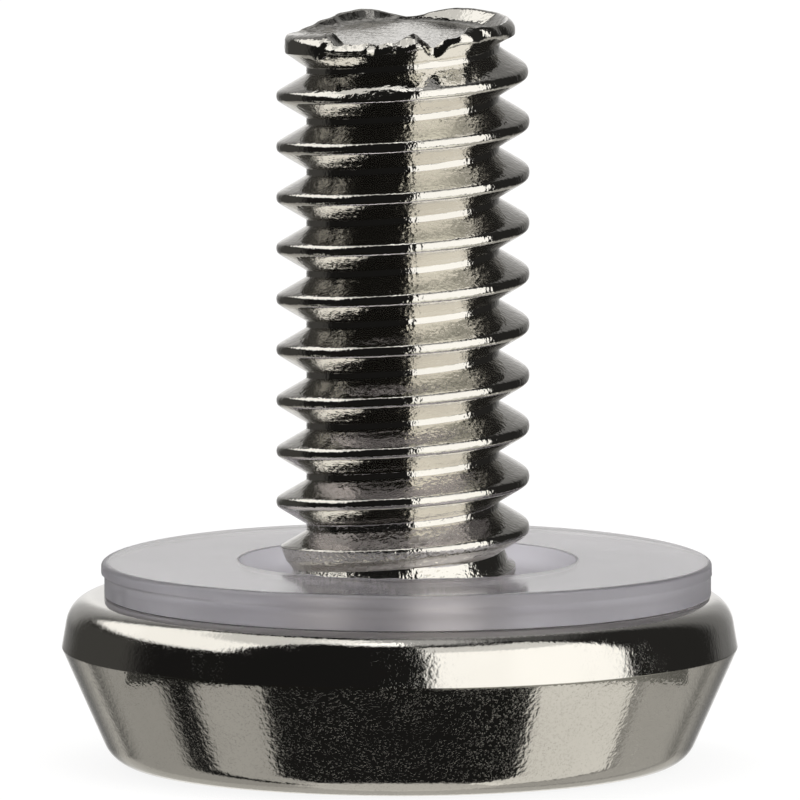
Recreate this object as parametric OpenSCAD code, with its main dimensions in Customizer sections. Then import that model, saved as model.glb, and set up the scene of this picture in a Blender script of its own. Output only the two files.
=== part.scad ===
// Server rack screw: a wide-headed steel machine screw with a flat plastic washer under its head.
// It stands on its head. The origin is the middle of the drive face, and +Z runs up the shank to the tip.

/* [Head] */
// Diameter across the rim
head_d = 14.04; // [12.6:0.02:17]
// Height from the drive face to the bearing face
head_h = 3.5; // [3:0.05:4.5]
// Depth of the rim's sharp corner under the bearing face
rim_h = 1.08; // [0.8:0.02:1.5]
// Slope of the rim over that corner, from the axis
rim_angle = 9.5; // [2:0.5:16]
// Radius of the rim's upper edge
rim_r = 0.65; // [0.2:0.05:0.8]
// Slope of the tapered side below the corner, from the axis
side_angle = 24; // [10:1:35]
// Radius of the edge round the drive face
edge_r = 0.72; // [0.3:0.02:1]

/* [Drive recess] */
// Span of the cross at the drive face
cross_d = 6.4; // [5.4:0.1:7.2]
// Span of the cross at its floor
floor_d = 3.81; // [3:0.05:4.4]
// Slope of the wing ends, from the axis
wing_angle = 26.5; // [22:0.5:32]
// Width of a wing
wing_w = 1.1; // [0.8:0.05:1.5]
// Width across the corners of the square core, at the drive face
core_d = 4.0; // [3.2:0.1:4.8]
// Included angle of the pointed floor
floor_angle = 146; // [138:1:154]

/* [Thread] */
// Crest diameter
thread_d = 5.28; // [4.8:0.02:6]
// Distance from crest to crest
pitch = 1.0583; // [0.95:0.01:1.27]
// Height of a crest over the root
thread_depth = 0.65; // [0.45:0.01:0.66]
// Width of a crest
crest_w = 0.19; // [0.12:0.01:0.24]
// Height that rounds off a crest, and fills a root
round_h = 0.03; // [0.01:0.005:0.05]
// Slope of a flank, from the plane across the axis
flank_angle = 30; // [26:1:31]
// Angle from +X at which the thread starts
thread_start = 56; // [0:1:359]

/* [Shank] */
// Length from the bearing face to the rim of the tip
shank_l = 11.9; // [8:0.05:20]
// Unthreaded neck over the bearing face
neck_h = 0.45; // [0.2:0.05:1]
// Height in which the thread grows to its full depth
runout_h = 0.85; // [0.4:0.05:1.6]
// Flare of the neck into the bearing face
flare_h = 0.18; // [0.05:0.01:0.3]
// Height of the lead-in below the tip
lead_h = 1.4; // [0.6:0.1:2.5]
// Crest radius lost over the lead-in
lead_drop = 0.3; // [0.1:0.02:0.4]
// Depth of the cupped tip
cup_depth = 0.45; // [0.2:0.05:0.8]
// Diameter of the cup where it meets the plane of the tip
cup_d = 4.4; // [3.6:0.1:4.6]
// Sideways shift of the cup, which slopes the tip to one side
cup_shift = 0.4; // [0:0.02:0.4]
// Angle from +X of that shift, which is the tip's low side
cup_turn = 265; // [0:1:359]

/* [Washer] */
// Diameter of the washer's body
washer_d = 12.6; // [11:0.02:13.2]
// Thickness
washer_t = 0.75; // [0.5:0.05:1.5]
// Play of the hole round the thread
washer_play = 1.7; // [0.4:0.1:2.4]
// Sideways rest of the washer within its play
washer_shift = 0.13; // [0:0.01:0.2]
// Height of the lip that the punch leaves at the upper edge
lip_h = 0.28; // [0.1:0.02:0.4]
// How far the lip stands out
lip_out = 0.04; // [0.02:0.01:0.1]
// Sideways shift of the lip
lip_shift = 0.025; // [0:0.005:0.035]
// Radius of the lip's upper edge
lip_r = 0.07; // [0.02:0.01:0.09]

/* [Hidden] */
// Segments of drawn circles
$fn = 96;
// Facets in one turn of the thread
seg = 36;
// Overlap of joined and cut shapes
eps = 0.2;
// Stock left over the tip for the cup to cut off
stock = 0.6;
// Radii of crest, root and plain neck
crest_r = thread_d / 2;
root_r = crest_r - thread_depth;
neck_r = crest_r - thread_depth / 2;
// Widths of a flank and of half a root
flank_w = (thread_depth - 2 * round_h) * tan(flank_angle);
half_root = (pitch - crest_w) / 2 - flank_w;
// Thread form over one pitch, from root to root: share of the pitch and radius
form_u = [0, half_root, half_root + flank_w, pitch / 2, pitch - half_root - flank_w, pitch - half_root] / pitch;
form_r = [root_r, root_r + round_h, crest_r - round_h, crest_r, crest_r - round_h, root_r + round_h];
form_n = len(form_u);
// Steps of the helix, from one pitch below the bearing face to well over the tip
foot_z = -pitch - eps;
steps = ceil(seg * (shank_l + pitch + stock) / pitch);
top_z = pitch * (steps / seg) + eps;
// Radius of the ball that cups the tip
cup_r = (cup_d * cup_d / 4 + cup_depth * cup_depth) / (2 * cup_depth);

// Share of the full thread at a height over the bearing face
function grown(z) = max(0, min(1, (z - neck_h) / runout_h));
// Share of the lead-in passed at a height
function led(z) = max(0, min(1.2, (z - shank_l + lead_h) / lead_h));
// Height of form point j on step i of the helix
function rise(i, j) = pitch * (i / seg - 1 + form_u[j]);
// Radius of form point j at a height
function reach(z, j) = let (
        worn = 1 - lead_drop / thread_depth * pow(led(z), 2),
        full = root_r + (form_r[j] - root_r) * worn
    ) neck_r + (full - neck_r) * grown(z);
// Point at a radius, on step i of the helix, at a height
function spot(r, i, z) = let (a = thread_start + 360 * i / seg) [r * cos(a), r * sin(a), z];
function thread_spot(i, j) = spot(reach(rise(i, j), j), i, rise(i, j));

// Index of form point j on step i: a turn's last row is the next turn's first
function id(i, j) = j == form_n ? id(i + seg, 0)
    : i <= steps ? i * form_n + j
    : (steps + 1) * form_n + i - steps - 1;
function foot_id(k) = (steps + 1) * form_n + seg + k % seg;
function top_id(k) = foot_id(0) + seg + k % seg;
// Two triangles of a quad, from its lower left corner round to its upper left one
function quad(a, b, c, d) = [[a, d, c], [a, c, b]];

thread_points = [
    for (i = [0 : steps], j = [0 : form_n - 1]) thread_spot(i, j),
    for (i = [steps + 1 : steps + seg]) thread_spot(i, 0),
    for (k = [0 : seg - 1]) spot(neck_r, k, foot_z),
    for (k = [0 : seg - 1]) spot(root_r, steps + k, top_z)
];

thread_faces = [
    for (i = [0 : steps - 1], j = [0 : form_n - 1])
        each quad(id(i, j), id(i + 1, j), id(i + 1, j + 1), id(i, j + 1)),
    // skirt under the first turn, with the thread's first section as its last side
    for (k = [0 : seg - 2]) each quad(foot_id(k), foot_id(k + 1), id(k + 1, 0), id(k, 0)),
    for (j = [0 : form_n - 1]) [id(seg - 1, 0), id(0, j + 1), id(0, j)],
    [id(seg - 1, 0), id(0, 0), foot_id(0)],
    [foot_id(seg - 1), id(seg - 1, 0), foot_id(0)],
    // skirt over the last turn, with the thread's last section as its first side
    for (j = [0 : form_n - 1]) [id(steps + 1, 0), id(steps, j), id(steps, j + 1)],
    [id(steps + 1, 0), id(steps + seg, 0), top_id(0)],
    [id(steps + 1, 0), top_id(0), top_id(1)],
    for (k = [1 : seg - 1])
        each quad(id(steps + k, 0), id(steps + k + 1, 0), top_id(k + 1), top_id(k)),
    [for (k = [0 : seg - 1]) foot_id(k)],
    [for (k = [seg - 1 : -1 : 0]) top_id(k)]
];

// Half section of the head: bearing face on top, rounded rim, sharp corner, tapered side, rounded edge.
// Each rounding is a circle that touches the two straight stretches beside it.
module head_section() {
    rim = head_d / 2;
    corner_z = head_h - rim_h;
    foot_r = rim - corner_z * tan(side_angle);
    foot_cut = edge_r * tan((90 - side_angle) / 2);
    top_r = rim - rim_h * tan(rim_angle);
    top_cut = rim_r * tan((90 - rim_angle) / 2);
    polygon([
        [0, 0],
        [foot_r - foot_cut, 0],
        [foot_r + foot_cut * sin(side_angle), foot_cut * cos(side_angle)],
        [rim, corner_z],
        [top_r + top_cut * sin(rim_angle), head_h - top_cut * cos(rim_angle)],
        [top_r - top_cut, head_h],
        [0, head_h]
    ]);
    translate([foot_r - foot_cut, edge_r]) circle(edge_r);
    translate([top_r - top_cut, head_h - rim_r]) circle(rim_r);
}

// Cross recess: two wings with sloping ends, a tapered square core between them and a pointed floor
module recess() {
    wing_depth = (cross_d - floor_d) / 2 / tan(wing_angle);
    point = floor_d / 2 / tan(floor_angle / 2);
    over = eps * tan(wing_angle);
    for (a = [0, 90])
        rotate([90, 0, a])
            linear_extrude(wing_w, center = true)
                polygon([
                    [-cross_d / 2 - over, -eps],
                    [cross_d / 2 + over, -eps],
                    [floor_d / 2, wing_depth],
                    [0, wing_depth + point],
                    [-floor_d / 2, wing_depth]
                ]);
    translate([0, 0, -eps]) cylinder(h = wing_depth + eps, d1 = core_d, d2 = 0.7 * floor_d, $fn = 4);
}

// Ball that hollows the tip and cuts it to length
module cup() {
    rotate(cup_turn) translate([cup_shift, 0, shank_l + cup_r - cup_depth]) sphere(cup_r);
}

module thread() {
    difference() {
        polyhedron(thread_points, thread_faces, convexity = 20);
        cup();
    }
}

module screw() {
    color([0.72, 0.69, 0.63])
        difference() {
            union() {
                rotate_extrude() head_section();
                translate([0, 0, head_h]) {
                    thread();
                    translate([0, 0, -eps])
                        cylinder(h = flare_h + 2 * eps, r1 = neck_r + flare_h + eps, r2 = neck_r - eps);
                }
            }
            recess();
        }
}

// Half section of the lip, with its upper edge rounded
module lip_section() {
    lip = washer_d / 2 + lip_out;
    square([lip - lip_r, lip_h]);
    square([lip, lip_h - lip_r]);
    translate([lip - lip_r, lip_h - lip_r]) circle(lip_r);
}

module washer() {
    color([0.78, 0.78, 0.8])
        translate([washer_shift, 0, head_h])
            difference() {
                union() {
                    cylinder(h = washer_t - lip_h / 2, d = washer_d);
                    translate([-lip_shift, 0, washer_t - lip_h]) rotate_extrude() lip_section();
                }
                translate([0, 0, -eps]) cylinder(h = washer_t + 2 * eps, d = thread_d + washer_play);
            }
}

screw();
washer();
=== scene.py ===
# %% [markdown]
# # A rack screw with its plastic washer
# The screw stands on its head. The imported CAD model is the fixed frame: two nodes on one body, in metres.
# This lesson gives both pieces a finer surface, worked out with numpy, and then plating, plastic, light and
# a camera.

# %% Load the frame
import math
import bmesh
import bpy
import numpy as np
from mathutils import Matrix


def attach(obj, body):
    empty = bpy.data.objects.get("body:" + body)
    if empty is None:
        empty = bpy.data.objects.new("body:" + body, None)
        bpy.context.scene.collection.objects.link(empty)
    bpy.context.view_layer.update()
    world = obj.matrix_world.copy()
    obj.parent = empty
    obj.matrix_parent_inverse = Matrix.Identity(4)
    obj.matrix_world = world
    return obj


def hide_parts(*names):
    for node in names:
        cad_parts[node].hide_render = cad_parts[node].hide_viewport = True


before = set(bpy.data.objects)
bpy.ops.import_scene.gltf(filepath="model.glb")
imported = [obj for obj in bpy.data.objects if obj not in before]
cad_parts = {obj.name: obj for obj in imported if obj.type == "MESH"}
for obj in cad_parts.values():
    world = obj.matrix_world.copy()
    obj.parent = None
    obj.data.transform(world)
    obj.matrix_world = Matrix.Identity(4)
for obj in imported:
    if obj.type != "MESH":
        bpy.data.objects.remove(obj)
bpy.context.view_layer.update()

# %% [markdown]
# ## Sizes
# The sizes repeat those of the CAD source, in millimetres, so that a new surface lies where its solid lies.
# The thread has 24 turns to the inch. All round shapes share one set of columns, so that their edges meet
# vertex to vertex.

# %% Sizes in millimetres
HEAD_H, RIM, RIM_H, RIM_R, EDGE_R = 3.5, 7.02, 1.08, 0.65, 0.72
RIM_SLOPE, SIDE_SLOPE = math.radians(9.5), math.radians(24)
PITCH, CREST_R, DEPTH, CREST_W = 25.4 / 24, 2.64, 0.65, 0.19
START, FLANK = math.radians(56), math.radians(30)
SHANK_L, NECK_H, RUNOUT_H, FLARE_H, LEAD_H, LEAD_DROP = 11.9, 0.45, 0.85, 0.18, 1.4, 0.3
ROOT_R, NECK_R = CREST_R - DEPTH, CREST_R - DEPTH / 2
COLUMNS = 180
turn = START + 2 * np.pi * np.arange(COLUMNS) / COLUMNS
turn_deg = np.degrees(turn) % 360
print("pitch", round(PITCH, 4), "columns", COLUMNS)

# %% [markdown]
# ## Shader helpers
# A finish is a small graph. It could be clicked together in the shader editor, but a script makes the same
# graph each time. One helper makes a node, sets its sockets and links its inputs, so that each material below
# reads as a list of what the finish is made of.


# %% Node helpers
def node(tree, kind, links=(), **values):
    """Makes a node. Values name properties of it, and links pairs an input's name or number with a socket
    or a plain value."""
    made = tree.nodes.new(kind)
    for key, value in values.items():
        setattr(made, key, value)
    for key, value in links:
        if isinstance(value, bpy.types.NodeSocket):
            tree.links.new(value, made.inputs[key])
        else:
            made.inputs[key].default_value = value
    return made


def maths(tree, operation, a, b=0.0):
    """One sum or function of one or two sockets or numbers."""
    return node(tree, "ShaderNodeMath", [(0, a), (1, b)], operation=operation).outputs[0]


def fade(tree, value, low, high, out_low=0.0, out_high=1.0):
    """Goes smoothly from out_low where the value is low to out_high where it is high."""
    ends = [(0, value), (1, low), (2, high), (3, out_low), (4, out_high)]
    return node(tree, "ShaderNodeMapRange", ends, interpolation_type="SMOOTHSTEP").outputs[0]


def noise(tree, place, scale, detail=2.0, rough=0.5, stretch=None):
    """Cloudy relief from 0 to 1, about 1 / scale metres across, stretched by a mapping where one is given."""
    if stretch:
        place = node(tree, "ShaderNodeMapping", [("Vector", place), ("Scale", stretch)]).outputs[0]
    settings = [("Vector", place), ("Scale", scale), ("Detail", detail), ("Roughness", rough)]
    return node(tree, "ShaderNodeTexNoise", settings).outputs["Fac"]


print("node helpers ready")


# %% Material helpers
def finish(name):
    """A material with an empty graph, its shader and its output."""
    material = bpy.data.materials.new(name)
    material.use_nodes = True
    tree = material.node_tree
    tree.nodes.clear()
    shader = tree.nodes.new("ShaderNodeBsdfPrincipled")
    tree.links.new(shader.outputs[0], tree.nodes.new("ShaderNodeOutputMaterial").inputs[0])
    place = tree.nodes.new("ShaderNodeTexCoord").outputs["Object"]
    return material, tree, shader, place


def two_tints(tree, factor, first, second):
    """A colour that goes from the first to the second as the factor goes from 0 to 1."""
    mix = node(tree, "ShaderNodeMix", data_type="RGBA")
    tree.links.new(factor, mix.inputs[0])
    mix.inputs[6].default_value = (*first, 1)
    mix.inputs[7].default_value = (*second, 1)
    return mix.outputs[2]


print("material helpers ready")

# %% [markdown]
# ## Nickel plating
# Bright nickel is a mirror with a warm tint. Its tint and polish change slowly over the surface, and the
# run-out of the thread, which the dies barely touched, is left matt. A picture could be painted on the mesh,
# but noise on object coordinates needs no unwrapping and has no seams.

# %% Plating: tint and polish
plating, tree, shader, place = finish("nickel_plating")
patch = noise(tree, place, 420, 2.0)
tint = two_tints(tree, fade(tree, patch, 0.35, 0.65), (0.81, 0.79, 0.745), (0.77, 0.75, 0.705))
tree.links.new(tint, shader.inputs["Base Color"])
shader.inputs["Metallic"].default_value = 1.0
matt = node(tree, "ShaderNodeAttribute", attribute_name="matt").outputs["Fac"]
polish = fade(tree, patch, 0.3, 0.7, 0.05, 0.08)
dull = maths(tree, "MULTIPLY", matt, 0.15)
tree.links.new(maths(tree, "ADD", polish, dull), shader.inputs["Roughness"])
print("plating tint and polish", len(tree.nodes), "nodes")

# %% [markdown]
# Barrel-plated screws have an orange-peel grain of under a tenth of a millimetre, which frays the border
# between a bright and a dark reflection. It is too fine for the mesh, so it is a bump of four layers: fine
# grain, a slower swell, shallow pits and a few deep ones. A pit is the middle of a cell in a random cell
# pattern, and the cell's random colour picks which pits are deep. Those are strongest on the tapered side.

# %% Plating: grain and pits
GRAIN, PITS, CLUSTERS = 12000.0, 34000.0, 1600.0  # how many to the metre
SWELL = (5500, 5500, 3500)
height = node(tree, "ShaderNodeSeparateXYZ", [(0, place)]).outputs["Z"]
shank_part = fade(tree, height, 0.0036, 0.0042)
on_side = fade(tree, height, 0.0023, 0.0025, 1.0, 0.25)
grain = noise(tree, place, GRAIN, 1.0)
swell = noise(tree, place, 1.0, 1.0, stretch=SWELL)
cells = node(tree, "ShaderNodeTexVoronoi", [("Vector", place), ("Scale", PITS)])
hollow = fade(tree, cells.outputs["Distance"], 0.05, 0.30)
clusters = fade(tree, noise(tree, place, CLUSTERS, 1.0), 0.40, 0.62, 0.4, 1.0)
pits = maths(tree, "MULTIPLY", hollow, clusters)
luck = node(tree, "ShaderNodeSeparateXYZ", [(0, cells.outputs["Color"])]).outputs["X"]
chosen = maths(tree, "MULTIPLY", pits, fade(tree, luck, 0.82, 0.84))
deep = maths(tree, "MULTIPLY", chosen, on_side)
print("plating grain", len(tree.nodes), "nodes")

# %% [markdown]
# Each layer has one weight on the head and one on the rolled shank, where the grain is coarser. The matt
# parts get more of the fine grain. A bump only turns the light, so the piece keeps its outline.

# %% Plating: bump
weights = [(grain, 0.25, 0.8), (swell, 0.2, 0.55), (pits, 0.05, 0.05), (deep, 0.105, 0.0)]
relief = 0.0
for layer, on_head, on_shank in weights:
    weight = fade(tree, shank_part, 0.0, 1.0, on_head, on_shank)
    relief = maths(tree, "ADD", maths(tree, "MULTIPLY", layer, weight), relief)
scratched = maths(tree, "MULTIPLY", maths(tree, "MULTIPLY", grain, matt), 3.2)
relief = maths(tree, "ADD", relief, scratched)
skin = node(tree, "ShaderNodeBump", [("Strength", 1.0), ("Distance", 1e-5), ("Height", relief)])
tree.links.new(skin.outputs[0], shader.inputs["Normal"])
print("plating", len(tree.nodes), "nodes")

# %% [markdown]
# ## Washer plastic
# The washer is punched from clear, slightly milky sheet. Most light passes through it, so it shows the neck
# and the head behind it, softened. A glass shader alone would be too clear, so a seventh of this one is plain
# pale plastic.

# %% Plastic: tint
plastic, tree, shader, place = finish("washer_plastic")
cloud = noise(tree, place, 700, 3.0)
tint = two_tints(tree, fade(tree, cloud, 0.3, 0.7), (0.85, 0.83, 0.885), (0.81, 0.79, 0.845))
tree.links.new(tint, shader.inputs["Base Color"])
shader.inputs["Transmission Weight"].default_value = 0.86
shader.inputs["IOR"].default_value = 1.49
print("plastic tint", len(tree.nodes), "nodes")

# %% [markdown]
# The punch leaves the cut faces frosted, the wall and the hole, with fine streaks that run round them. The
# frost is a rougher surface inside the hole's edge and outside the wall's edge, and the streaks are a bump
# from noise squeezed along the axis.

# %% Plastic: frosted cut faces
WASHER_R, HOLE_R, SHIFT = 6.3, 3.49, 0.13
flat = node(tree, "ShaderNodeVectorMath", [(0, place), (1, (1, 1, 0))], operation="MULTIPLY").outputs[0]
ends = [(0, flat), (1, (SHIFT * 0.001, 0, 0))]
from_middle = node(tree, "ShaderNodeVectorMath", ends, operation="DISTANCE").outputs["Value"]
in_hole = fade(tree, from_middle, (HOLE_R + 0.03) * 0.001, (HOLE_R + 0.08) * 0.001, 1.0, 0.0)
on_wall = fade(tree, from_middle, (WASHER_R - 0.10) * 0.001, (WASHER_R - 0.04) * 0.001)
frost = maths(tree, "MULTIPLY", maths(tree, "ADD", in_hole, on_wall), 0.24)
polish = fade(tree, cloud, 0.3, 0.7, 0.08, 0.13)
tree.links.new(maths(tree, "ADD", polish, frost), shader.inputs["Roughness"])
streak = noise(tree, place, 1.0, 2.0, 0.6, (350, 350, 9000))
skin = node(tree, "ShaderNodeBump", [("Strength", 1.0), ("Distance", 3e-6), ("Height", streak)])
tree.links.new(skin.outputs[0], shader.inputs["Normal"])
print("plastic", len(tree.nodes), "nodes")

# %% [markdown]
# ## Thread
# A rolled thread has no hard edges. A bevel modifier could round them, but the form changes along the shank,
# so a soft minimum and a soft maximum round every corner inside the formula.


# %% Soft corners
def soft_min(a, b, k):
    """The smaller of a and b, with the corner where they cross rounded over about k: half of their sum less
    the root of the squared difference plus k squared."""
    return (a + b - np.sqrt((a - b) ** 2 + k * k)) / 2


def soft_max(a, b, k):
    """The larger of a and b, rounded in the same way, with the root added."""
    return (a + b + np.sqrt((a - b) ** 2 + k * k)) / 2


def bump(x, middle, width):
    """A bell of height 1 at the middle: exp of minus the squared distance in widths."""
    return np.exp(-(((x - middle) / width) ** 2))


print("soft corner of 0 and 0 over a width of 1:", soft_max(0, 0, 1))

# %% [markdown]
# The thread could be a screw modifier on a profile. Here it is a radius for each angle and height, because
# its form changes: it grows out of the plain neck over the run-out and loses crest height in the lead-in.
# Heights count from the bearing face.

# %% Thread form
ROOT_SOFT, CREST_SOFT, RUNOUT_SOFT = 0.02, 0.075, 0.02
RIDGE_H, RIDGE_W = 0.014, 0.035
SPARE = 0.01


def off_crest(angle, z):
    """Distance along the axis to the middle of the nearest crest: pitch times how far the phase is from
    a half."""
    phase = z / PITCH - (angle - START) / (2 * np.pi)
    return PITCH * np.abs(phase - np.floor(phase) - 0.5)


def thread_height(d):
    """Height over the root at a distance from a crest's middle: a straight flank between root and crest,
    with soft corners, and a low ridge in the middle of the root, where the metal of both sides met under
    the rolling die."""
    flank = DEPTH + (CREST_W / 2 - d) / math.tan(FLANK)
    form = soft_min(soft_max(flank, 0, ROOT_SOFT), DEPTH, CREST_SOFT)
    return form + RIDGE_H * bump(d, PITCH / 2, RIDGE_W)


def shank_radius(angle, z):
    """Radius at an angle and a height: plain neck, run-out, full thread, then the lead-in, where the crests
    fall off with the square of the height. In the run-out the thread form is held between a cap and a bed
    that both start from the neck, so its crest is a broad band there."""
    grow = np.clip((z - NECK_H) / RUNOUT_H, 0, 1)
    lead = np.clip((z - SHANK_L + LEAD_H) / LEAD_H, 0, 1.2)
    full = ROOT_R + thread_height(off_crest(angle, z)) * (1 - LEAD_DROP / DEPTH * lead**2)
    cap = NECK_R + (CREST_R + SPARE - NECK_R) * grow
    bed = NECK_R + (ROOT_R - SPARE - NECK_R) * grow
    flare = FLARE_H * np.clip(1 - z / FLARE_H, 0, 1) ** 2
    return soft_max(soft_min(full, cap, RUNOUT_SOFT), bed, RUNOUT_SOFT) + flare


print("thread", thread_height(0.0).round(3), "mm high over a root at", round(ROOT_R, 3))

# %% [markdown]
# ## Tip
# The end of the shank is a ragged cup, torn and hammered. Sculpting could make it, but could not be repeated,
# so everything here is a formula. A step fades a blow in, two steps make a window, and a ripple, a sum of
# a few sines with fixed phases, roughens what is torn.


# %% Steps and ripples
def step(a, b, x):
    """Rises smoothly from 0 at a to 1 at b: 3t squared minus 2t cubed."""
    t = np.clip((x - a) / (b - a), 0, 1)
    return t * t * (3 - 2 * t)


def window(x, rise, fall):
    """1 between two soft edges: a step up over the rise times a step down over the fall."""
    return step(*rise, x) * (1 - step(*fall, x))


def ripple(x, y, wave, seed):
    """Rough relief between about -1 and 1: nine plane sine waves of random direction, phase and length, added
    up and divided by 4.5."""
    rng = np.random.default_rng(seed)
    total = 0
    for _ in range(9):
        a, p, f = rng.uniform(0, 2 * np.pi), rng.uniform(0, 2 * np.pi), rng.uniform(0.6, 1.6)
        total = total + np.sin(2 * np.pi * f * (np.cos(a) * x + np.sin(a) * y) / wave + p)
    return total / 4.5


print("halfway up a step:", step(0, 1, 0.5))

# %% [markdown]
# The rim of the cup is a height for each angle: two lobes at the back, a low torn front, and a deep fold
# right of the middle. Angles count in degrees from +X.

# %% Rim of the tip
RIM_ANGLES = [0, 30, 54, 70, 88, 104, 125, 146, 172, 180, 200, 214, 219, 222, 227, 231, 236, 250, 262, 268,
              277, 287, 293, 307, 325]
RIM_HEIGHTS = [12.05, 12.03, 12.07, 12.03, 11.76, 12.06, 12.0, 11.9, 11.68, 11.67, 11.77, 11.83, 11.85, 11.86,
               11.76, 11.68, 11.67, 11.72, 11.73, 11.79, 11.94, 11.62, 11.76, 12.05, 11.98]
TORN = (206, 216), (300, 320)
WHOLE_ROUGH, TORN_ROUGH = 0.003, 0.025


def rim_height(angle):
    """Height of the rim: straight pieces between the lobes and dips where the rim is torn, the mean of five
    such heights side by side where it is whole, and a fine ripple that is stronger on the torn part."""
    a = np.degrees(angle) % 360
    sharp = np.interp(a, RIM_ANGLES, RIM_HEIGHTS, period=360)
    smooth = sum(np.interp(a + d, RIM_ANGLES, RIM_HEIGHTS, period=360) for d in (-10, -5, 0, 5, 10)) / 5
    torn = window(a, *TORN)
    rough = (WHOLE_ROUGH + TORN_ROUGH * torn) * ripple(3 * angle, 0, 0.6, 4)
    return smooth + (sharp - smooth) * torn + rough


rim_z = rim_height(turn)
print("rim from", rim_z.min().round(2), "to", rim_z.max().round(2))

# %% [markdown]
# Blows have hammered the end of the thread to an upright face on the left and on the right, and one more has
# flattened the upper corner of the first crest. Each blow is a window or a bell in angle and height, and
# inside it the radius is cut back.

# %% Blows
LEFT_BLOW, LEFT_FOOT = ((168, 178), (224, 228)), (11.26, 11.36)
LEFT_R, LEFT_TOP, LEFT_ROUND = 2.45, 11.58, 4
RIGHT_BLOW, RIGHT_FOOT = ((148, 160), (196, 216)), (11.58, 11.74)
RIGHT_R, RIGHT_TOP, RIGHT_ROUND = 2.33, 11.82, 3
NICK_Z, NICK_CREST = 10.66, 262  # a point on the first crest, by height and angle
NICK, NICK_W, NICK_R, NICK_SLOPE = 258, 17, 2.6, 0.75
NICK_OVER, NICK_REACH = 0.12, 0.33


def blunt(angle, z):
    """Where the end of the thread is upright, on the left and on the right: 1 inside each window. The right
    one counts its angle from -X, so that it does not run over 360 degrees."""
    a = np.degrees(angle) % 360
    b = (np.degrees(angle) + 180) % 360
    left = window(a, *LEFT_BLOW) * step(*LEFT_FOOT, z)
    right = window(b, *RIGHT_BLOW) * step(*RIGHT_FOOT, z)
    return left, right


def worn(angle, z, radius):
    """The radius after the blows. What stands over a sloping line on the first crest is cut off, and each
    upright face has one radius, less the square of the height over its rounded upper edge."""
    a = np.degrees(angle) % 360
    over = z - NICK_Z - PITCH * (a - NICK_CREST) / 360
    excess = np.clip(radius - (NICK_R - NICK_SLOPE * over), 0, 1)
    excess = excess * (np.abs(over - NICK_OVER) < NICK_REACH)
    radius = radius - excess * bump(a, NICK, NICK_W)
    left, right = blunt(angle, z)
    left_face = LEFT_R - LEFT_ROUND * np.clip(z - LEFT_TOP, 0, 1) ** 2
    right_face = RIGHT_R - RIGHT_ROUND * np.clip(z - RIGHT_TOP, 0, 1) ** 2
    return radius + (left_face - radius) * left + (right_face - radius) * right


print("blunt columns", int((sum(blunt(turn, rim_z)) > 0.5).sum()))

# %% [markdown]
# Between the two upright faces the lip is pushed out, pinched in and torn off to a slope. Each fold is a bell
# in angle, and the slope starts at a ragged edge a little below the rim.

# %% Folds
FOLDS = [(0.10, 248, 11), (-0.10, 228, 3), (-0.07, 269, 6), (0.05, 279, 3), (-0.12, 288, 4), (0.05, 305, 9)]
LIP_FADE, LIP_ROUGH, EDGE_DROP, EDGE_ROUGH = (11.25, 11.65), 0.05, 0.22, 0.05
SLOPE, SLOPED = 0.9, ((226, 236), (286, 300))


def fold(angle, z):
    """How far the lip moves out: the bells of the folds and a ripple, faded out below the lip and on the
    upright faces, less a slope times the height over the ragged edge."""
    a = np.degrees(angle) % 360
    push = sum(out * bump(a, middle, width) for out, middle, width in FOLDS)
    push = push + LIP_ROUGH * ripple(2 * np.cos(angle), 2 * np.sin(angle) + z, 0.8, 7)
    edge = rim_height(angle) - EDGE_DROP - EDGE_ROUGH * ripple(2.2 * angle, 0, 0.45, 9)
    sloped = SLOPE * window(a, *SLOPED) * soft_max(z - edge, 0, 0.05)
    left, right = blunt(angle, z)
    return push * step(*LIP_FADE, z) * (1 - left) * (1 - right) - sloped


lip_r = worn(turn, rim_z, shank_radius(turn, rim_z)) + fold(turn, rim_z)
print("lip radius from", lip_r.min().round(2), "to", lip_r.max().round(2))

# %% [markdown]
# ## Shank
# Screw and washer are turned shapes, so one helper carries rows of points round the axis. On the shank a row
# climbs with the helix and meets the row one pitch higher after one turn, so that it keeps its place on the
# thread form and each crest has a clean edge. The header left the shank a little right of the head's middle.

# %% Rows round the axis
HEAD_LEFT, SHANK_ASIDE, ASIDE_H = 0.035, 0.065, 0.3


def sweep(radius, height, shift=0, lean=True):
    """Points x = radius cos turn, y = radius sin turn, and their quads, from arrays of radius and height by
    row and column. The last column joins the first, moved up by shift rows, which closes a helix. With lean,
    the head moves left, and the shank right of it."""
    rows = radius.shape[0]
    height = height + 0 * radius
    aside = (SHANK_ASIDE * step(HEAD_H, HEAD_H + ASIDE_H, height) - HEAD_LEFT) * lean
    points = np.stack([radius * np.cos(turn) + aside, radius * np.sin(turn), height], -1).reshape(-1, 3)
    row, col = np.meshgrid(np.arange(rows - 1), np.arange(COLUMNS), indexing="ij")
    last = col == COLUMNS - 1
    right = np.where(last, 0, col + 1)
    lift = np.where(last, shift, 0)
    quads = np.stack([row * COLUMNS + col, (row + lift) * COLUMNS + right,
                      (row + 1 + lift) * COLUMNS + right, (row + 1) * COLUMNS + col], -1)
    return points, quads[(row + 1 + lift) < rows]


print("shank", SHANK_ASIDE, "mm aside of the head")

# %% [markdown]
# Rows crowd where the thread form bends, at the corners of root and crest, and are sparse on the straight
# flanks. Rows that would run under the bearing face or over the rim are held there, which closes both ends.

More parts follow.
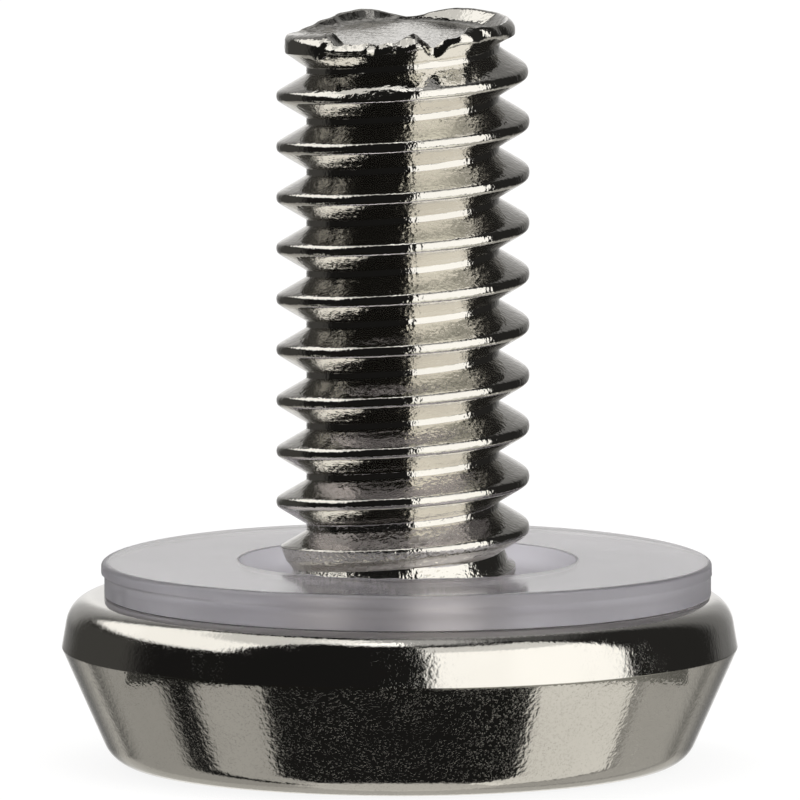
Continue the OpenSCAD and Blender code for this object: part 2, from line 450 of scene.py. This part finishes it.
# %% Shank surface
HALF_FORM = np.array([0, 0.03, 0.06, 0.079, 0.088, 0.097, 0.112, 0.16,
                      0.25, 0.34, 0.37, 0.388, 0.402, 0.416, 0.432, 0.465])
form_rows = np.concatenate([HALF_FORM, [0.5], 1 - HALF_FORM[:0:-1]])
turns = int(np.ceil((SHANK_L + 0.3) / PITCH)) + 1
rows = PITCH * (np.arange(turns)[:, None] - 1 + form_rows).reshape(-1, 1)
climb = np.clip(rows + PITCH * (turn - START) / (2 * np.pi), 0, rim_z)
shank_r = worn(turn, climb, shank_radius(turn, climb)) + fold(turn, climb)
shank = sweep(shank_r, HEAD_H + climb, shift=len(form_rows))
print("shank rows", climb.shape[0], "in", turns, "turns")

# %% [markdown]
# ## Cup
# Inside the lip the tip is a shallow dish. A ball could cut it, as in the CAD source, but the torn rim is not
# level. So each ring of the dish is a share of the lip's radius, and its height is the larger of two: a wall
# that falls from the rim at 43 degrees, and a floor that leans a little to the front.

# %% Cupped tip
DISH_Z, DISH_LEAN, DISH_SOFT = 11.66, 0.07, 0.06
WALL_SLOPE = math.tan(math.radians(43))
LIP_W, BLOCK_W, BLOCK = 0.012, 0.09, ((170, 178), (222, 228))
share = np.concatenate([[1, 0.985, 0.965, 0.94], np.linspace(0.91, 0.02, 26), [0]])[:, None]
dish_x = share * lip_r * np.cos(turn)
dish_y = share * lip_r * np.sin(turn)
inward = lip_r * np.clip(1 - share - LIP_W - BLOCK_W * window(turn_deg, *BLOCK), 0, 1)
dish_floor = DISH_Z + DISH_LEAN * dish_y
dish_floor = dish_floor + 0.004 * ripple(dish_x, dish_y, 1.5, 11)
dish_floor = dish_floor + 0.002 * ripple(dish_x, dish_y, 0.5, 12)
dish_z = np.minimum(rim_z, soft_max(rim_z - WALL_SLOPE * inward, dish_floor, DISH_SOFT))
dish_z = np.where(share == 0, dish_z[-1].mean(), dish_z)
tip = sweep(share * lip_r, HEAD_H + dish_z)
print("cup floor", dish_z.min().round(2))

# %% [markdown]
# ## Head
# A header forms the head in one blow, and it is round all over. A lathe would make it from a profile, and so
# does this step: arcs and straight lines, carried round the axis in the same columns as the shank.


# %% Arcs and lines
def arc(middle_r, middle_z, radius, start, end, count):
    """Points on a circle in the half plane: the middle plus the radius times cosine and sine of angles that
    count from the radial direction."""
    a = np.linspace(start, end, count)
    return np.stack([middle_r + radius * np.cos(a), middle_z + radius * np.sin(a)], -1)


def straight(start, end):
    """Points on a line: start plus a share of the way to end. The shares lie close to both ends, so that soft
    shading stays at a corner."""
    share = np.array([0.02, 0.07, 0.5, 0.93, 0.98])[:, None]
    return start + share * (end - start)


print("quarter circle", arc(0, 0, 1, 0, math.pi / 2, 3).round(2).tolist())

# %% [markdown]
# The profile runs from the neck outwards and down: flat bearing face, rounded rim, a sharp corner where the
# two dies met, a tapered side and a rounded edge to the drive face.

# %% Head profile
CORNER_R, FACE_R = 0.05, 4.4
corner_z = HEAD_H - RIM_H
foot_r = RIM - corner_z * math.tan(SIDE_SLOPE)
foot_cut = EDGE_R * math.tan((math.pi / 2 - SIDE_SLOPE) / 2)
top_r = RIM - RIM_H * math.tan(RIM_SLOPE)
top_cut = RIM_R * math.tan((math.pi / 2 - RIM_SLOPE) / 2)
bearing_r = np.linspace(NECK_R + FLARE_H, top_r - top_cut, 14)[:-1]
bearing = np.stack([bearing_r, 0 * bearing_r + HEAD_H], -1)
rim_arc = arc(top_r - top_cut, HEAD_H - RIM_R, RIM_R, math.pi / 2, RIM_SLOPE, 14)
corner_arc = arc(RIM - CORNER_R, corner_z + 0.01, CORNER_R, RIM_SLOPE, -SIDE_SLOPE, 6)
foot_arc = arc(foot_r - foot_cut, EDGE_R, EDGE_R, -SIDE_SLOPE, -math.pi / 2, 14)
rim_line = straight(rim_arc[-1], corner_arc[0])
side_line = straight(corner_arc[-1], foot_arc[0])
drive_face = np.array([[foot_r - foot_cut - 0.25, 0], [FACE_R, 0]])
profile = np.concatenate([bearing, rim_arc, rim_line, corner_arc, side_line, foot_arc, drive_face])
print("head profile", len(profile), "points")

# %% [markdown]
# ## Drive recess
# The face underneath takes a cross-point driver. A boolean could cut the recess, but would leave long thin
# faces. So it is a loft: the outline of the cross, drawn at the face and again on the way to its floor, and
# then drawn together to a point.


# %% Outline of the cross
def cross_outline(span, core, half):
    """Points of a cross with a square core, a quarter of the columns in each quarter. A quarter runs along
    a wing's end, down its side, across the core, up the next wing and along its end."""
    corners = np.array([[span, 0], [span, half], [core - half, half],
                        [half, core - half], [half, span], [0, span]])
    counts = np.array([5, 13, 9, 13, 5]) * COLUMNS // 180
    marks = np.concatenate([[0], np.cumsum(counts)])
    k = np.arange(COLUMNS // 4)
    quarter = np.stack([np.interp(k, marks, corners[:, 0]), np.interp(k, marks, corners[:, 1])], -1)
    whole = [quarter @ np.array([[c, s], [-s, c]]) for c, s in ((1, 0), (0, 1), (-1, 0), (0, -1))]
    return np.roll(np.concatenate(whole), -round(START / (2 * np.pi) * COLUMNS), axis=0)


print("cross outline", len(cross_outline(3, 2, 0.5)), "points")

# %% [markdown]
# The first three outlines round the edge at the face, and the others follow the sloping ends of the wings.

# %% Recess rows
CROSS, CROSS_FLOOR, CORE, CORE_TAPER, WING = 3.2, 1.905, 2.0, 0.667, 0.55
WING_SLOPE, POINT_H = math.radians(26.5), 0.58
taper = CROSS - CROSS_FLOOR
wing_depth = taper / math.tan(WING_SLOPE)
levels = [(CROSS + 0.06, CORE + 0.06, WING + 0.05, 0.0),
          (CROSS + 0.01, CORE + 0.01, WING + 0.01, 0.03),
          (CROSS - 0.04, CORE - 0.03, WING, 0.1)]
levels += [(CROSS - taper * t, CORE - CORE_TAPER * t, WING, wing_depth * t) for t in (0.35, 0.7, 1.0)]
rings = [np.concatenate([cross_outline(s, c, h), np.full((COLUMNS, 1), z)], 1) for s, c, h, z in levels]
floor_rings = [rings[-1] * (f, f, 1) + (0, 0, POINT_H * (1 - f)) for f in (0.7, 0.35, 0.0)]
face_ring = np.stack([FACE_R * np.cos(turn), FACE_R * np.sin(turn), 0 * turn], -1)
recess = np.stack([face_ring] + rings + floor_rings)
recess_quads = sweep(recess[..., 0], recess[..., 2])[1]
recess_sheet = (recess.reshape(-1, 3) - (HEAD_LEFT, 0, 0), recess_quads)
print("recess", round(float(recess[..., 2].max()), 2), "mm deep")

# %% [markdown]
# ## Screw
# The real screw is one piece of steel, so its four sheets become one mesh. Joined objects would leave open
# edges. Here the sheets meet in the same points, which are merged, so that the mesh is one closed shell with
# every face turned outwards.

# %% One closed mesh
SHARP = math.radians(42)


def weld(name, sheets):
    """Joins sheets of points and quads into one closed mesh in metres. Edges over the sharp angle stay
    sharp, and all others are shaded smooth."""
    starts = np.cumsum([0] + [len(points) for points, _ in sheets[:-1]])
    points = np.concatenate([p for p, _ in sheets]) * 0.001
    quads = np.concatenate([q + s for (_, q), s in zip(sheets, starts)])
    mesh = bpy.data.meshes.new(name)
    mesh.from_pydata(points.tolist(), [], quads.tolist())
    work = bmesh.new()
    work.from_mesh(mesh)
    bmesh.ops.remove_doubles(work, verts=work.verts, dist=2e-7)
    bmesh.ops.dissolve_degenerate(work, edges=work.edges, dist=1e-8)
    bmesh.ops.recalc_face_normals(work, faces=work.faces)
    if work.calc_volume(signed=True) < 0:
        bmesh.ops.reverse_faces(work, faces=work.faces)
    open_edges = sum(not e.is_manifold for e in work.edges)
    print(name, len(work.faces), "faces", open_edges, "open edges", round(work.calc_volume() * 1e9, 1), "mm3")
    work.to_mesh(mesh)
    work.free()
    mesh.shade_smooth()
    mesh.set_sharp_from_angle(angle=SHARP)
    return mesh


print("edges over", round(math.degrees(SHARP)), "degrees stay sharp")

# %% [markdown]
# The innermost ring of the bearing face takes the radius of the shank's foot, so that head and shank meet.
# The mesh becomes an object on the one body, and stands in for the CAD node of the screw.


# %% Screw
def stand_in(mesh, material, cad_node):
    """Makes the object of a mesh in its material, on the one body, in place of a CAD node."""
    mesh.materials.append(material)
    piece = bpy.data.objects.new(mesh.name, mesh)
    bpy.context.scene.collection.objects.link(piece)
    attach(piece, "root")
    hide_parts(cad_node)
    return piece


head_r = np.repeat(profile[:, :1], COLUMNS, 1)
head_r[0] = shank_radius(turn, 0)
head = sweep(head_r, profile[:, 1:])
screw = stand_in(weld("screw_steel", [shank, tip, head, recess_sheet]), plating, "screw")

# %% [markdown]
# The neck was not touched by the dies, and the run-out's broad crest was only brushed by them. A value at
# each vertex tells the plating where to stay matt: 1 where the full thread form would stand over the
# run-out's cap, 0.6 on the neck and 0.5 on the bearing face next to it.

# %% Matt run-out
spots = np.empty(3 * len(screw.data.vertices))
screw.data.vertices.foreach_get("co", spots)
x, y, z = spots.reshape(-1, 3).T * 1000 - np.array([[SHANK_ASIDE - HEAD_LEFT], [0], [HEAD_H]])
cap = NECK_R + (CREST_R - NECK_R) * np.clip((z - NECK_H) / RUNOUT_H, 0, 1)
over_cap = ROOT_R + thread_height(off_crest(np.arctan2(y, x), z)) - cap
band = step(-0.02, 0.05, over_cap) * window(z, (0.4, 0.55), (1.25, 1.4))
neck = 0.6 * window(z, (0.02, 0.1), (0.55, 0.8))
seat = 0.5 * (np.abs(z) < 0.01) * (np.hypot(x, y) < 3.6)
matt_here = np.maximum(np.maximum(band, neck), seat)
screw.data.attributes.new("matt", "FLOAT", "POINT").data.foreach_set("value", matt_here)
print("matt vertices", int((matt_here > 0.5).sum()))

# %% [markdown]
# ## Washer
# A punch cuts the washer from sheet and leaves a proud lip at its upper edge. Two cylinders and a boolean
# would make a plain ring, but not its burr and its sag. So it is a profile carried round its own middle: up
# the hole, over the top, round the lip, down the wall and back underneath.

# %% Washer profile
WASHER_T, LIP_H, LIP_OUT, LIP_R = 0.75, 0.28, 0.04, 0.09
lip_middle = WASHER_R + LIP_OUT - LIP_R
lip_foot = WASHER_T - LIP_H
inner = np.stack([np.full(6, HOLE_R), np.linspace(0, WASHER_T - 0.02, 6)], -1)
upper = np.stack([np.linspace(HOLE_R + 0.02, lip_middle, 20), np.full(20, WASHER_T)], -1)
lip = arc(lip_middle, WASHER_T - LIP_R, LIP_R, math.pi / 2 - 0.2, 0, 7)
wall = np.array([[WASHER_R + LIP_OUT, lip_foot + 0.04], [WASHER_R + 0.02, lip_foot],
                 [WASHER_R, lip_foot - 0.03], [WASHER_R, 0.25], [WASHER_R, 0.03], [WASHER_R - 0.03, 0]])
lower = np.stack([np.linspace(WASHER_R - 0.2, HOLE_R, 12), np.zeros(12)], -1)
ring = np.concatenate([inner, upper, lip, wall, lower])
print("washer profile", len(ring), "points")

# %% [markdown]
# The lip is shifted to the left, the ends sag a little, and the hole has a burr at the front. A film of air
# stays under the washer, so that the clear plastic shows the mirror of the bearing face.

# %% Washer ring
LIP_SHIFT, SAG, AIR = 0.025, 0.05, 0.012
BURR, BURR_W, BURR_H, BURR_ROUGH = 262, 38, 0.02, 0.03
ring_r = np.repeat(ring[:, :1], COLUMNS, 1)
ring_z = np.repeat(ring[:, 1:], COLUMNS, 1)
proud = (ring_r > WASHER_R - 0.1) & (ring_z > lip_foot + 0.01)
ring_r = np.where(proud, ring_r - LIP_SHIFT * np.cos(turn), ring_r)
ring_z = ring_z - SAG * (ring_z / WASHER_T) * (ring_r / WASHER_R * np.cos(turn)) ** 4
hole_edge = (ring_r < HOLE_R + 0.05) & (ring_z > 0.6)
burr = BURR_H + BURR_ROUGH * ripple(HOLE_R * turn, 0, 0.9, 21)
ring_z = ring_z + hole_edge * bump(turn_deg, BURR, BURR_W) * burr
ring_z = np.maximum(ring_z, AIR)
points, quads = sweep(ring_r, HEAD_H + ring_z, lean=False)
washer_sheet = (points + (SHIFT, 0, 0), quads)
stand_in(weld("washer_ring", [washer_sheet]), plastic, "washer")

# %% [markdown]
# ## Floor
# A plain pale floor. It glows, so that it is almost white round the contact shadow, and it is hidden from
# reflections, so that the plating mirrors the studio and not the floor.

# %% Floor
bpy.ops.mesh.primitive_plane_add(size=3.0, location=(0, 0, -0.00002))
floor = bpy.context.object
floor.name = "floor"
floor.visible_glossy = False
paper, _, shader, _ = finish("floor_paper")
shader.inputs["Base Color"].default_value = (0.2, 0.2, 0.2, 1)
shader.inputs["Emission Color"].default_value = (1.0, 1.0, 1.0, 1)
shader.inputs["Emission Strength"].default_value = 0.88
shader.inputs["Roughness"].default_value = 0.9
shader.inputs["Specular IOR Level"].default_value = 0.0
floor.data.materials.append(paper)
print("floor at", round(floor.location.z * 1000, 3), "mm")

# %% [markdown]
# ## Lit table
# The table catches the soft box on the right and a little light on the left. Only reflections see it, as
# a sector of a ring that starts a little away from the head, where its shadow ends: the tapered side stays
# dark, and the upper flanks of the thread shine.

# %% Lit table: surface
SPOKES = 40
sector = np.radians(np.linspace(-168, -4, SPOKES))
reach = np.array([0.0088, 0.012, 0.02, 0.028])[:, None]
table_points = np.stack([reach * np.cos(sector), reach * np.sin(sector), 0 * reach * sector], -1)
row, col = np.meshgrid(np.arange(len(reach) - 1), np.arange(SPOKES - 1), indexing="ij")
table_quads = (row * SPOKES + col).reshape(-1, 1) + np.array([0, SPOKES, SPOKES + 1, 1])
table_mesh = bpy.data.meshes.new("lit_table")
table_mesh.from_pydata(table_points.reshape(-1, 3).tolist(), [], table_quads.tolist())
table = bpy.data.objects.new("lit_table", table_mesh)
bpy.context.scene.collection.objects.link(table)
table.visible_camera = table.visible_diffuse = table.visible_shadow = table.visible_transmission = False
print("lit table", len(table_mesh.polygons), "faces")

# %% [markdown]
# The glow depends on the angle from the camera's side, right positive, and on the right also on the distance
# from the axis. It could be a painted picture, but a few fades on object coordinates say the same.

# %% Lit table: glow
lit_paper, tree, shader, place = finish("lit_paper")
shader.inputs["Base Color"].default_value = (0, 0, 0, 1)
shader.inputs["Specular IOR Level"].default_value = 0.0
shader.inputs["Emission Color"].default_value = (1.0, 0.98, 0.88, 1)
across, depth, _ = node(tree, "ShaderNodeSeparateXYZ", [(0, place)]).outputs
side = maths(tree, "DEGREES", maths(tree, "ARCTAN2", across, maths(tree, "MULTIPLY", depth, -1.0)))
away = node(tree, "ShaderNodeVectorMath", [(0, place)], operation="LENGTH").outputs["Value"]
right_glow = maths(tree, "MULTIPLY", fade(tree, side, 6, 14), fade(tree, side, 35, 88, 1.0, 0.35))
# dimmer close to the axis: a painted shadow of the head on the lit table
right_glow = maths(tree, "MULTIPLY", right_glow, fade(tree, away, 0.008, 0.020, 0.25, 1.05))
left_glow = fade(tree, side, -110, -58, 0.12, 0.01)
tree.links.new(maths(tree, "ADD", right_glow, left_glow), shader.inputs["Emission Strength"])
table_mesh.materials.append(lit_paper)
print("table glow", len(tree.nodes), "nodes")

# %% [markdown]
# ## Studio
# Plating shows what stands round it. Lamps and boards could be modelled, but on a screw this small only their
# directions matter, so the light is laid out by direction in the world: a tall soft box to the right of the
# camera, a panel high on the left, a white ceiling, a grey wall behind with a paler strip in it, pale tables
# low at both sides, and a dark room behind the camera.

# %% World by direction
world = bpy.data.worlds.new("studio")
bpy.context.scene.world = world
world.use_nodes = True
tree = world.node_tree
tree.nodes.clear()
direction = node(tree, "ShaderNodeTexCoord").outputs["Generated"]
east, north, up = node(tree, "ShaderNodeSeparateXYZ", [(0, direction)]).outputs
front = maths(tree, "MULTIPLY", north, -1.0)
azimuth = maths(tree, "DEGREES", maths(tree, "ARCTAN2", east, front))
elevation = maths(tree, "DEGREES", maths(tree, "ARCSINE", up))
off_front = maths(tree, "ABSOLUTE", azimuth)
print("directions", len(tree.nodes), "nodes")

# %% [markdown]
# Each panel is a soft window in azimuth, counted from the camera's side with right positive, and in
# elevation. Panels that are alike on both sides use the azimuth without its sign.


# %% Panels
def panel(around, sides, ends, soft, strength):
    """Strength of a panel: a window in azimuth times one in elevation, with soft edges, in degrees."""
    left = fade(tree, around, sides[0] - soft, sides[0] + soft)
    right = fade(tree, around, sides[1] - soft, sides[1] + soft, 1.0, 0.0)
    low = fade(tree, elevation, ends[0] - soft, ends[0] + soft)
    high = fade(tree, elevation, ends[1] - soft, ends[1] + soft, 1.0, 0.0)
    area = maths(tree, "MULTIPLY", maths(tree, "MULTIPLY", left, right), maths(tree, "MULTIPLY", low, high))
    return maths(tree, "MULTIPLY", area, strength)


boxes = [
    panel(azimuth, (11, 85), (-23, 66), 3, 0.74),        # tall soft box, right of the camera
    panel(azimuth, (11, 85), (-23, 46), 3, 0.48),        # its brighter lower part
    panel(azimuth, (-147, -65), (21, 84), 4, 0.7),       # big panel high on the left
    panel(azimuth, (-147, -65), (21, 54), 4, 0.44),      # its brighter lower half
    panel(azimuth, (-62, 4), (73, 100), 4, 1.0),         # white ceiling over the left half
]
tables = [
    panel(azimuth, (92, 158), (-24, 58), 8, 0.01),       # dim side, right
    panel(azimuth, (-158, -104), (-22, 18), 8, 0.043),   # dim side, left
    panel(azimuth, (-93, -63), (-72, -24), 3, 0.37),     # pale table, left
    panel(azimuth, (-146, -107), (-72, -24), 4, 0.31),   # pale table, further left
    panel(azimuth, (-190, -146), (-72, -18), 4, 0.41),   # pale table, left and back
    panel(azimuth, (62, 106), (-72, -26), 2, 0.72),      # pale table, right
    panel(azimuth, (108, 146), (-72, -22), 5, 0.37),     # pale table, further right
    panel(azimuth, (148, 190), (-72, -18), 5, 0.43),     # pale table, right and back
    panel(off_front, (-10, 200), (-100, -71), 4, 0.51),  # straight below
]
walls = [
    panel(azimuth, (146, 178), (48, 72), 8, 0.18),       # panel high at the back on the right
    panel(azimuth, (96, 142), (58, 78), 6, 0.07),        # panel high on the right
    panel(off_front, (163, 200), (-22, 34), 14, 0.34),   # grey wall behind
    panel(off_front, (172, 200), (-34, 18), 4, 0.43),    # pale strip in the wall's middle
    panel(azimuth, (140, 176), (-8, 74), 9, 0.14),       # grey wall, right
    panel(azimuth, (-178, -151), (0, 52), 7, 0.18),      # grey wall, left
    panel(off_front, (-10, 200), (76, 100), 6, 0.42),    # ceiling
]
print("studio", len(boxes), "boxes", len(tables), "tables", len(walls), "walls")

# %% [markdown]
# The tables are the warmest and the walls nearly neutral, so each group glows in its own colour. Seen
# straight from the camera, the studio is a plain pale backdrop.


# %% Glow of the studio
def shine(strengths, rest, colour):
    """A glow of one colour: the sum of the strengths, over a faint rest from everywhere."""
    total = rest
    for strength in strengths:
        total = maths(tree, "ADD", strength, total)
    return node(tree, "ShaderNodeBackground", [("Color", colour), ("Strength", total)]).outputs[0]


lit = shine(boxes, 0.010, (1.0, 0.985, 0.95, 1))
warm = shine(tables, 0.0, (1.0, 0.97, 0.90, 1))
neutral = shine(walls, 0.0, (1.0, 0.99, 0.98, 1))
glow = node(tree, "ShaderNodeAddShader", [(0, lit), (1, warm)]).outputs[0]
glow = node(tree, "ShaderNodeAddShader", [(0, glow), (1, neutral)]).outputs[0]
pale = shine([], 1.0, (1.0, 1.0, 1.0, 1))
straight_on = node(tree, "ShaderNodeLightPath").outputs["Is Camera Ray"]
seen = node(tree, "ShaderNodeMixShader", [(0, straight_on), (1, glow), (2, pale)]).outputs[0]
tree.links.new(seen, tree.nodes.new("ShaderNodeOutputWorld").inputs[0])
print("world", len(tree.nodes), "nodes")

# %% [markdown]
# ## Light for the floor
# A broad lamp overhead lights the floor round the head and leaves a soft contact shadow. It is hidden from
# reflections, so that the plating does not mirror it.

# %% Light for the floor
lamp = bpy.data.lights.new("top_light", "AREA")
lamp.shape = "DISK"
lamp.size = 1.2
lamp.energy = 6.0
top_light = bpy.data.objects.new("top_light", lamp)
top_light.location = (0, 0, 1.2)
top_light.visible_glossy = False
bpy.context.scene.collection.objects.link(top_light)
print("top light", lamp.energy, "W")

# %% [markdown]
# ## Camera
# The photograph looks down by 6.7 degrees, with little perspective. So the camera stands 620 mm away, with
# a lens so long that 16.6 mm fill the frame.

# %% Camera
DISTANCE, HALF_FRAME, RISE = 0.62, 0.0083, math.radians(6.7)
lens = bpy.data.cameras.new("camera")
lens.sensor_width = 36.0
lens.angle = 2 * math.atan(HALF_FRAME / DISTANCE)
lens.clip_start = 0.01
lens.clip_end = 20.0
camera = bpy.data.objects.new("camera", lens)
target = np.array([-0.00003, 0.0, 0.00757])
camera.location = target + DISTANCE * np.array([0, -math.cos(RISE), math.sin(RISE)])
camera.rotation_euler = (math.pi / 2 - RISE, 0, 0)
bpy.context.scene.collection.objects.link(camera)
bpy.context.scene.camera = camera
bpy.context.scene.view_settings.view_transform = "Standard"
print("camera", [round(v, 4) for v in camera.location])
